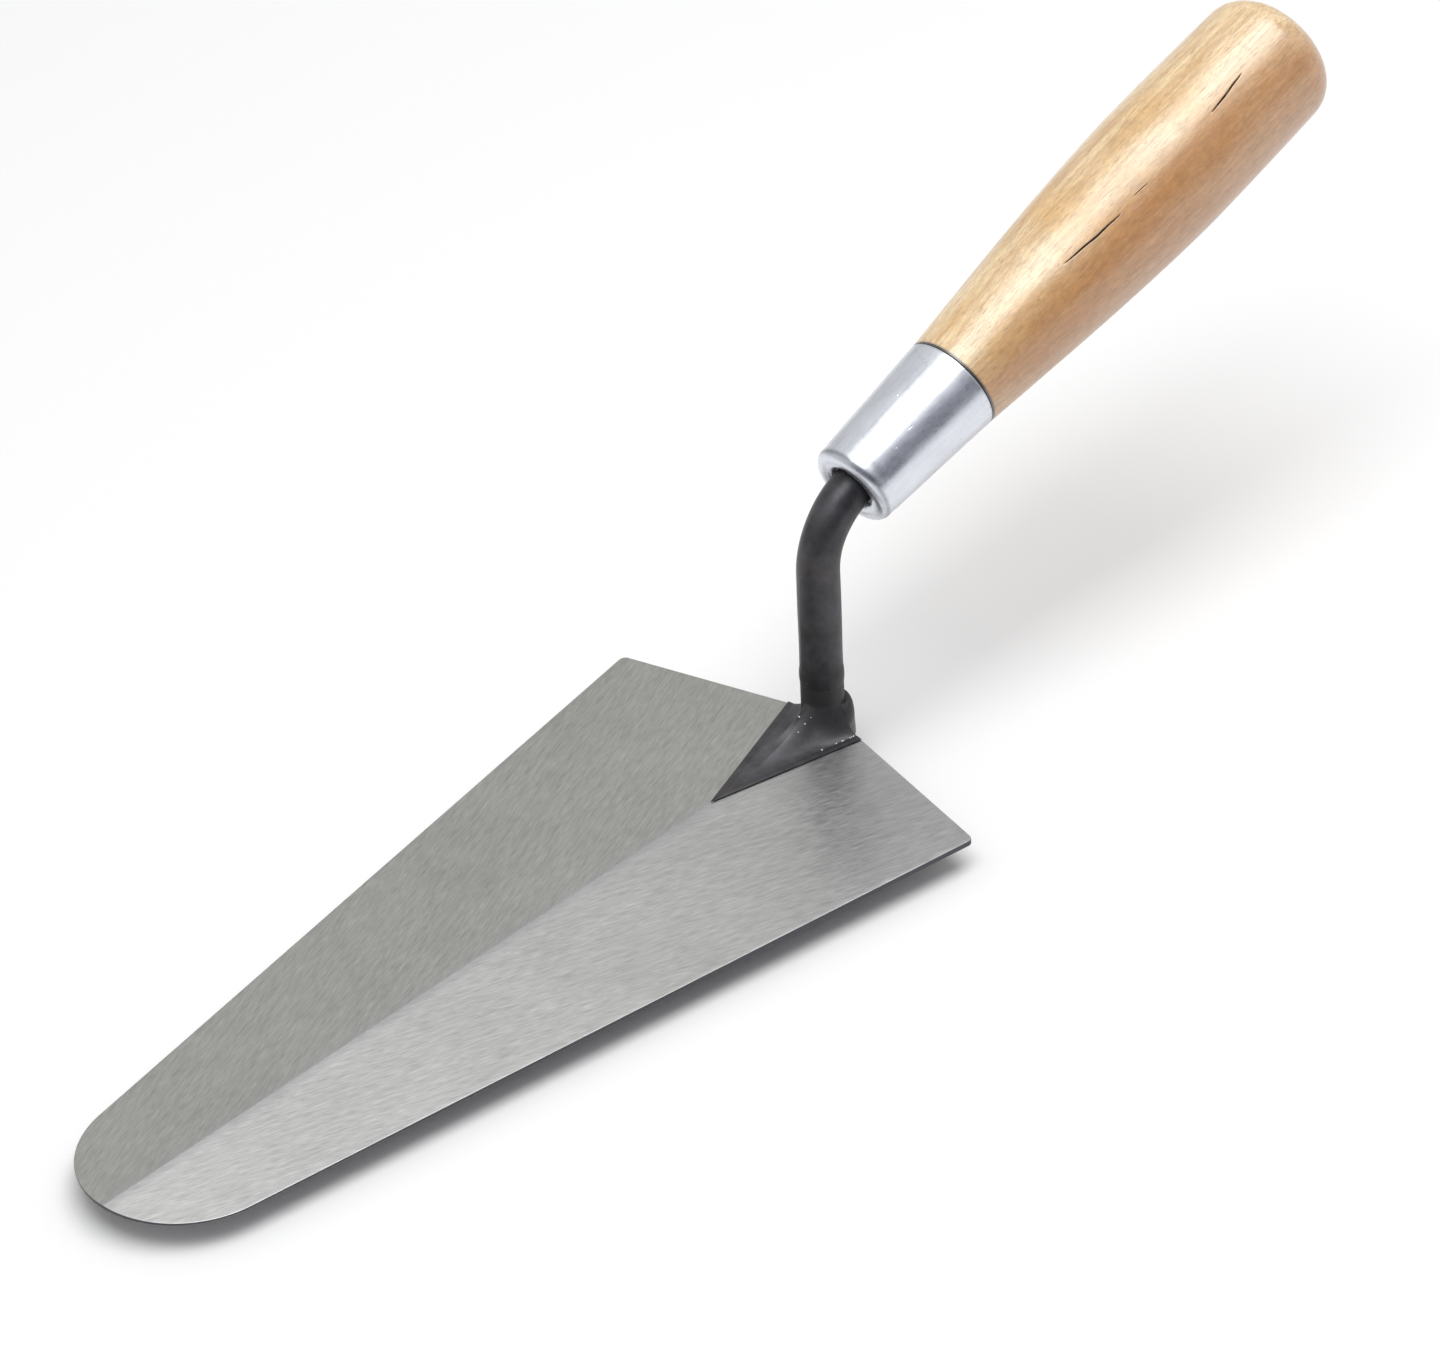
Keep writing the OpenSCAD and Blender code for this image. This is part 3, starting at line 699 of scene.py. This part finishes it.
def make_foot_welds(scene, plan):
    """Two dressed runs. Each is carried along a side of the foot: its section rises from a thin toe on the
    blade to the foot's edge over a slight crown, with a soft ripple along the run. Spatter grains lie on the
    -Y run."""
    point, inner, corners = foot_lines(plan)
    half = plan.foot_wide / 2
    sheets, bright = [], []
    along = np.linspace(0, 1, 120)[:, None]
    steps = 13                                       # points over the crown; the rest run back underneath
    across = np.concatenate([np.linspace(0, 1, steps), np.linspace(1, 0, 5)[1:-1]])
    upper = np.arange(len(across)) < steps
    for side in (1, -1):
        outer_line = mix(point, np.array([0, side * half]), along)
        inner_line = mix(inner, corners[side], along)
        spot = mix(outer_line[:, None], inner_line[:, None], across[None, :, None])
        roof = plan.roof(spot[..., 0], spot[..., 1])
        toe, arch = (0.22, 0.03) if side < 0 else (0.31, 0.01)
        crown = arch * np.sin(np.pi * across)[None]
        crown = crown * (1 + 0.6 * ripple(along * 31, 0 * along, 3 + side, 2.4))
        rise = mix(toe, plan.pad_edge, across)[None] + crown * np.minimum(1, 6 * along)
        z = np.where(upper[None], roof + rise, roof - SINK)
        sheet = np.concatenate([spot, z[..., None]], -1)
        ends = [np.repeat(sheet[k].mean(0)[None], len(across), 0)[None] for k in (0, -1)]
        sheets.append(np.concatenate([ends[0], sheet, ends[1]]))
        bright.append(np.zeros(sheets[-1].shape[0] * len(across)))
    draw = np.random.default_rng(4)
    for place in (0.020, 0.034, 0.050, 0.098, 0.110, 0.155, 0.27):
        spot = mix(corners[-1], inner, place) + [0.0, 0.08 * draw.uniform(-1, 1)]
        height = plan.roof(*spot) + plan.pad_edge + 0.02
        sheets.append(bead(np.array([*spot, height]), draw.uniform(0.13, 0.20)))
        bright.append(np.ones(sheets[-1].shape[0] * sheets[-1].shape[1]))
    bright = np.concatenate(bright)
    finish = black_oxide("dressed_weld", colour_of(scene, "weld"), 0.36, 0.46)
    build("foot_weld_runs", sheets, finish, "foot_welds",
          {"bright": bright, "heated": 0 * bright}, sharp=40)


def make_shank(scene, plan):
    """A circle carried along the rod's centre line: lower straight, bend, short straight, then shoulder, tang
    and tapered point. The radius varies a little, as on a hot-bent rod."""
    first = plan.foot_joint / math.cos(plan.shank_lean)
    low = np.linspace(first, plan.shank_start, 70)
    spots = [plan.shank_foot + low[:, None] * plan.lean_way]
    tilts = [np.full(len(low), math.pi / 2 - plan.shank_lean)]
    turn = np.linspace(math.pi / 2 - plan.shank_lean, plan.shank_rise, 72)[1:]
    spots.append(plan.bend_centre + plan.shank_bend * np.stack([-np.sin(turn), 0 * turn, np.cos(turn)], -1))
    tilts.append(turn)
    tang, shoulder = plan.shank_tang, max(-plan.shank_gap, plan.spigot)
    places = np.array([shoulder + 0.01, shoulder + 0.01, shoulder + 3, plan.tang_end - plan.shank_point,
                       plan.tang_end - 0.4, plan.tang_end, plan.tang_end])
    spots.append(plan.mouth + places[:, None] * plan.rise_way)
    tilts.append(np.full(len(places), plan.shank_rise))
    spot, tilt = np.concatenate(spots), np.concatenate(tilts)
    r = plan.shank_radius
    radius = np.concatenate([np.full(len(spot) - len(places), r),
                             [r - 0.2, tang, tang, tang, tang / 3 + 0.2, tang / 3 - 0.1, 0]])
    travelled = np.concatenate([[0], np.cumsum(np.linalg.norm(np.diff(spot, axis=0), axis=1))])
    around = 96
    angle = np.linspace(0, 2 * np.pi, around + 1)[:-1][None]
    uneven = 0.045 * ripple(travelled[:, None], 4 * np.sin(angle) + 2.5 * np.cos(angle), 21, 11.0)
    number = np.arange(len(spot))
    free = smooth((len(spot) - len(places) - number) / 12.0) * smooth(number / 8.0)
    wide = radius[:, None] + uneven * free[:, None]
    out = np.stack([-np.sin(tilt), 0 * tilt, np.cos(tilt)], -1)
    sheet = (spot[:, None] + (wide * np.cos(angle))[..., None] * plan.side
             + (wide * np.sin(angle))[..., None] * out[:, None])
    sheet = np.concatenate([np.repeat(spot[:1], around, 0)[None], sheet])
    heat = np.concatenate([[1.0], 1 - smooth((travelled - 1.2) / 3.0)])
    marks = {"heated": np.repeat(heat, around), "bright": np.zeros(sheet.shape[0] * around)}
    finish = black_oxide("rod_oxide", colour_of(scene, "oxide"), 0.34, 0.46)
    build("shank_rod", [sheet], finish, "shank", marks)


def make_shank_weld(scene, plan):
    """The ring of metal pushed out at the joint: a low arched section turned round the rod, a little
    uneven."""
    half = plan.foot_ring / 2
    up = np.linspace(-1, 1, 19)
    angle = np.linspace(0, 2 * np.pi, 129)[:-1]
    lump = 1 + 0.30 * ripple(8 * np.cos(angle), 8 * np.sin(angle), 8, 9.0)
    outer = plan.shank_radius + (plan.foot_bulge * (1 - up ** 2))[:, None] * lump[None] * 0.55
    inner = np.full((2, len(angle)), plan.shank_radius - 0.1)
    radius = np.concatenate([outer, inner, outer[:1]])
    height = np.concatenate([up * half, [half, -half], [-half]]) + plan.foot_joint
    middle = plan.shank_foot + height[:, None] * plan.lean_way
    sheet = (middle[:, None] + (radius * np.cos(angle))[..., None] * plan.side
             + (radius * np.sin(angle))[..., None] * -plan.lean_side)
    count = sheet.shape[0] * sheet.shape[1]
    finish = black_oxide("upset_ring", tuple(0.8 * v for v in colour_of(scene, "weld")), 0.26, 0.40)
    build("shank_weld_ring", [sheet], finish, "shank_weld",
          {"heated": np.full(count, 0.8), "bright": np.zeros(count)}, sharp=50)


def make_ferrule(scene, plan):
    """A closed section turned round the handle's axis: tapered side, rolled rim, rounded lip at the mouth,
    and the inner wall back to the open end. A shallow groove lies behind the rim, and the side is slightly
    uneven. A painted dark reflection lies on the round of the rim, dirt darkens the joint with the wood, and
    a fine dark line runs along the side and hooks aside at its rear."""
    wall, rim, long = plan.ferrule_wall, plan.ferrule_rim, plan.ferrule_long
    lip = plan.shank_radius + plan.ferrule_mouth
    side = np.linspace(long - 0.12, rim, 70)
    groove = 0.08 * np.exp(-((side - 3.0) / 0.6) ** 2)
    outer = np.stack([side, plan.ferrule_radius(side) - groove], -1)
    bend = np.linspace(np.pi / 2, 0, 22)[1:]
    roll = np.stack([rim - rim * np.cos(bend), plan.rim_centre + rim * np.sin(bend)], -1)
    dish = np.linspace(0, 1, 12)[1:]
    sunk = 1.3 * dish ** 2.2
    face = np.stack([sunk, mix(plan.rim_centre, lip, np.sin(np.pi / 2 * dish))], -1)
    back = np.stack([sunk[::-1] + 0.1, mix(plan.rim_centre, lip + 0.3, dish[::-1])], -1)
    mouth = np.concatenate([[[1.36, lip + 0.1]], back[:-2]])
    inner_rim = rim - wall
    bend_in = np.linspace(0.25, np.pi / 2, 9)
    inside = np.stack([rim - inner_rim * np.cos(bend_in), plan.rim_centre + inner_rim * np.sin(bend_in)], -1)
    bore = np.linspace(rim, long, 12)[1:]
    inner = np.stack([bore, plan.ferrule_radius(bore) - wall], -1)
    rear = np.array([[long, plan.ferrule_back - 0.14], [long - 0.04, plan.ferrule_back - 0.04]])
    section = np.concatenate([outer, roll, face, mouth, inside, inner, rear, outer[:1]])
    angle = np.linspace(0, 2 * np.pi, 181)[:-1][None]
    place, radius = section[:, :1], section[:, 1:]
    outside = np.zeros((len(section), 1))
    outside[:len(outer) + len(roll)] = 1.0
    outside[-1] = 1.0
    window = smooth((long - 0.4 - place) / 1.5)
    dents = (0.018 * ripple(place, 9 * angle, 31, 12.0) - 0.020) * outside * window
    sheet = plan.round_axis(place, radius + dents, angle)
    line = np.radians(96 - 30 * smooth((place - 24.5) / 2.5))
    drawn = 0.40 * np.exp(-((angle - line) * 9 / 0.26) ** 2)
    drawn = drawn * smooth((place - 5) / 4) * smooth((27.2 - place) / 0.5)
    # Painted dark reflection: a dark band on the round of the rim, just past the end of the highlight.
    painted_rim_reflection = 0.95 * np.exp(-((place - 1.25) / 0.42) ** 2)
    grime = np.clip((painted_rim_reflection + np.exp(-(long - place) / 0.12) + drawn) * outside, 0, 1)
    build("ferrule_cup", [sheet], ferrule_metal(scene, plan), "ferrule", {"grime": grime},
          sharp=50)


def handle_radius(plan, place):
    """Neck to swell by a quarter sine less a little hollow, swell to butt by a quarter cosine, then a butt
    rounded as a superellipse."""
    neck = plan.ferrule_back
    t = np.clip(place / plan.handle_swell_place, 0, 1)
    front = mix(neck, plan.handle_swell, np.sin(np.pi / 2 * t) - 0.08 * np.sin(np.pi * t))
    butt_start = plan.handle_long - plan.handle_butt_long
    u = np.clip((place - plan.handle_swell_place) / (butt_start - plan.handle_swell_place), 0, 1)
    back = mix(plan.handle_swell, plan.handle_butt, 1 - np.cos(np.pi / 2 * u))
    v = np.clip((place - butt_start) / plan.handle_butt_long, 0, 1)
    return np.where(place < plan.handle_swell_place, front, back) * (1 - v ** 2.3) ** (1 / 2.3)


def crack_depth(place, angle, start, stop, angles, sway, width):
    """A drying crack along the grain: a thin valley that follows a slightly swaying line between two places,
    and fades at both ends. Angles are in degrees round the axis."""
    t = (place - start) / (stop - start)
    line = np.interp(t, np.linspace(0, 1, len(angles)), angles) + sway * np.sin(5 * np.pi * np.clip(t, 0, 1))
    grip_radius = 13.0                               # about the grip's radius at the cracks
    aside = (np.degrees(angle) - line) * np.pi / 180 * grip_radius
    ends = np.clip(np.sin(np.pi * np.clip(t, 0, 1)), 0, 1) ** 0.4
    return np.exp(-(aside / (width * (0.35 + 0.65 * ends))) ** 2) * ends


def make_handle(scene, plan):
    """A section turned round the handle's axis: drilled hole, spigot, shoulder, grip and rounded butt. The
    turning is closer round the cracks, which are cut into the grip, and faint tool rings run round it."""
    hole, long = plan.shank_tang + 0.05, plan.ferrule_long
    hole_end = plan.tang_end + 1.5
    tight = plan.ferrule_wall + 0.05
    bore = np.array([[hole_end, 0], [hole_end, hole], [plan.spigot, hole], [plan.spigot, plan.rim_centre],
                     [plan.ferrule_rim + 1, plan.ferrule_front - tight],
                     [long, plan.ferrule_back - tight]])
    butt_start = plan.handle_long - plan.handle_butt_long
    grip = np.concatenate([np.linspace(0.18, butt_start, 225), butt_start + plan.handle_butt_long
                           * np.sin(np.linspace(0, np.pi / 2, 44)[1:])])
    rounded = handle_radius(plan, grip)
    rounded[-1] = 0
    arris = np.array([[long, plan.ferrule_back - 0.40], [long + 0.10, plan.ferrule_back - 0.22]])
    section = np.concatenate([bore, arris, np.stack([long + grip, rounded], -1)])
    even = np.linspace(0, 360, 229)[:-1]
    close = np.linspace(119, 137, 73)
    angle = np.radians(np.union1d(even[(even < close[0]) | (even > close[-1])], close))[None]
    place, radius = section[:, :1], section[:, 1:]
    on_grip = (np.arange(len(section)) >= len(bore) + len(arris))[:, None]
    s = place - long
    cracks = crack_depth(s, angle, 27.4, 42.0, (128.0, 129.6, 130.6, 132.0, 132.3, 133.0), 0.16, 0.14)
    cracks = np.maximum(cracks, crack_depth(s, angle, 68.8, 78.8, (128.6, 127.6, 125.8, 124.0), 0.12, 0.12))
    cracks = np.maximum(cracks, 0.7 * crack_depth(s, angle, 46.0, 50.0, (130.5, 131.2), 0.05, 0.05))
    cracks = np.where(on_grip, cracks, 0.0)
    # Dark cracks, a dark joint line behind the ferrule, and painted shade on the wood hidden inside the
    # ferrule.
    dark = np.maximum(cracks, np.where(on_grip, 0.0, 1.0) + np.exp(-np.maximum(s, 0) / 0.30))
    tool = 0.006 * np.sin(2 * np.pi * s / 1.9) + 0.020 * ripple(s, 9 * np.cos(angle), 41, 24.0)
    fade = smooth((radius - 1) / 3) * on_grip
    sheet = plan.round_axis(place, radius - 0.45 * cracks + (tool - 0.045) * fade, angle)
    build("handle_turned", [sheet], lacquered_wood(scene, plan), "handle",
          {"crack": np.minimum(dark, 1.0)}, sharp=50)


# ---------------------------------------------------------------- stage

def make_stage(scene):
    """A plain pale floor, one large softbox overhead, a pale room that darkens behind the camera's right, and
    the camera."""
    stage = scene.trowel_stage
    f = Finish("plain_floor")
    floor_finish = f.end(Base_Color=colour_of(scene, "floor"), Roughness=0.9, Specular_IOR_Level=0.1)
    reach, drop = 6.0, -stage.floor_drop
    mesh = bpy.data.meshes.new("floor")
    corners = [(x * reach, y * reach, drop) for x, y in ((-1, -1), (1, -1), (1, 1), (-1, 1))]
    mesh.from_pydata(corners, [], [(0, 1, 2, 3)])
    mesh.materials.append(floor_finish)
    floor = bpy.data.objects.new("floor", mesh)
    scene.collection.objects.link(floor)

    lamp = bpy.data.lights.new("softbox", "AREA")
    lamp.shape, lamp.size, lamp.size_y = "RECTANGLE", 1.5, 0.80
    lamp.energy = stage.box_power
    softbox = bpy.data.objects.new("softbox", lamp)
    softbox.location = (0.05, -0.20, 1.2)
    scene.collection.objects.link(softbox)

    world = bpy.data.worlds.new("room")
    world.use_nodes = True
    scene.world = world
    tree = world.node_tree
    room = Nodes(tree)
    x, y, z = room.split(room.add("TexCoord", out="Generated"))
    front = room.math("MULTIPLY_ADD", x, -0.55, room.math("MULTIPLY", y, -0.83))
    near = room.levels(front, 0.20, 0.60, 0.0, 1.0, "SMOOTHSTEP")
    low = room.levels(z, 0.95, 0.45, 0.0, 1.0, "SMOOTHSTEP")
    shade = room.math("MULTIPLY", near, low)
    glow = room.levels(z, 0.0, 0.9, 0.62, 0.80)
    tone = room.math("MULTIPLY", glow, room.levels(shade, 0, 1, 1.0, 0.31))
    colour = room.blend(shade, (1.0, 1.0, 1.0), (0.90, 0.92, 1.06))
    back = tree.nodes["Background"]
    tree.links.new(colour, back.inputs["Color"])
    tree.links.new(tone, back.inputs["Strength"])

    camera = bpy.data.objects.new("camera", bpy.data.cameras.new("camera"))
    camera.data.sensor_fit, camera.data.sensor_width = "HORIZONTAL", 36.0
    camera.data.lens = stage.lens
    camera.data.clip_end = 20.0
    camera.location = (-0.898618, -0.983473, 0.964572)
    camera.rotation_euler = Euler([math.radians(a) for a in (54.3865, 4.7040, -44.9976)], "XYZ")
    scene.collection.objects.link(camera)
    scene.camera = camera
    scene.view_settings.view_transform = "Standard"


# ---------------------------------------------------------------- operators, panel, registration

class TROWEL_OT_blade(bpy.types.Operator):
    """Builds the ground blade"""
    bl_idname, bl_label = "trowel.blade", "Blade"

    def execute(self, context):
        make_blade(context.scene, Plan(context.scene))
        return {"FINISHED"}


class TROWEL_OT_foot(bpy.types.Operator):
    """Builds the forged foot and the weld runs along its sides"""
    bl_idname, bl_label = "trowel.foot", "Foot and welds"

    def execute(self, context):
        plan = Plan(context.scene)
        make_foot(context.scene, plan)
        make_foot_welds(context.scene, plan)
        return {"FINISHED"}


class TROWEL_OT_shank(bpy.types.Operator):
    """Builds the bent shank with its tang, and the ring at its joint"""
    bl_idname, bl_label = "trowel.shank", "Shank"

    def execute(self, context):
        plan = Plan(context.scene)
        make_shank(context.scene, plan)
        make_shank_weld(context.scene, plan)
        return {"FINISHED"}


class TROWEL_OT_ferrule(bpy.types.Operator):
    """Builds the ferrule"""
    bl_idname, bl_label = "trowel.ferrule", "Ferrule"

    def execute(self, context):
        make_ferrule(context.scene, Plan(context.scene))
        return {"FINISHED"}


class TROWEL_OT_handle(bpy.types.Operator):
    """Builds the turned handle"""
    bl_idname, bl_label = "trowel.handle", "Handle"

    def execute(self, context):
        make_handle(context.scene, Plan(context.scene))
        return {"FINISHED"}


class TROWEL_OT_stage(bpy.types.Operator):
    """Builds the floor, the light and the camera"""
    bl_idname, bl_label = "trowel.stage", "Stage"

    def execute(self, context):
        make_stage(context.scene)
        return {"FINISHED"}


OPERATORS = (TROWEL_OT_blade, TROWEL_OT_foot, TROWEL_OT_shank, TROWEL_OT_ferrule, TROWEL_OT_handle,
             TROWEL_OT_stage)
GROUPS = {"blade": BladeSizes, "foot": FootSizes, "shank": ShankSizes, "ferrule": FerruleSizes,
          "handle": HandleSizes, "finishes": Finishes, "stage": StageSettings}


class TROWEL_PT_panel(bpy.types.Panel):
    """Lists the steps in the order they are made"""
    bl_label, bl_idname = "Brick trowel", "TROWEL_PT_panel"
    bl_space_type, bl_region_type, bl_category = "VIEW_3D", "UI", "Trowel"

    def draw(self, context):
        for step in OPERATORS:
            self.layout.operator(step.bl_idname)
        for name in GROUPS:
            group = getattr(context.scene, "trowel_" + name)
            box = self.layout.box()
            box.label(text=name.capitalize())
            for key in group.__annotations__:
                box.prop(group, key)


def register():
    for group in GROUPS.values():
        bpy.utils.register_class(group)
    for name, group in GROUPS.items():
        setattr(bpy.types.Scene, "trowel_" + name, PointerProperty(type=group))
    for step in OPERATORS:
        bpy.utils.register_class(step)
    bpy.utils.register_class(TROWEL_PT_panel)


def unregister():
    bpy.utils.unregister_class(TROWEL_PT_panel)
    for step in reversed(OPERATORS):
        bpy.utils.unregister_class(step)
    for name, group in GROUPS.items():
        delattr(bpy.types.Scene, "trowel_" + name)
        bpy.utils.unregister_class(group)


def main():
    register()
    for step in OPERATORS:
        area, name = step.bl_idname.split(".")
        getattr(getattr(bpy.ops, area), name)()


if __name__ == "__main__":
    main()
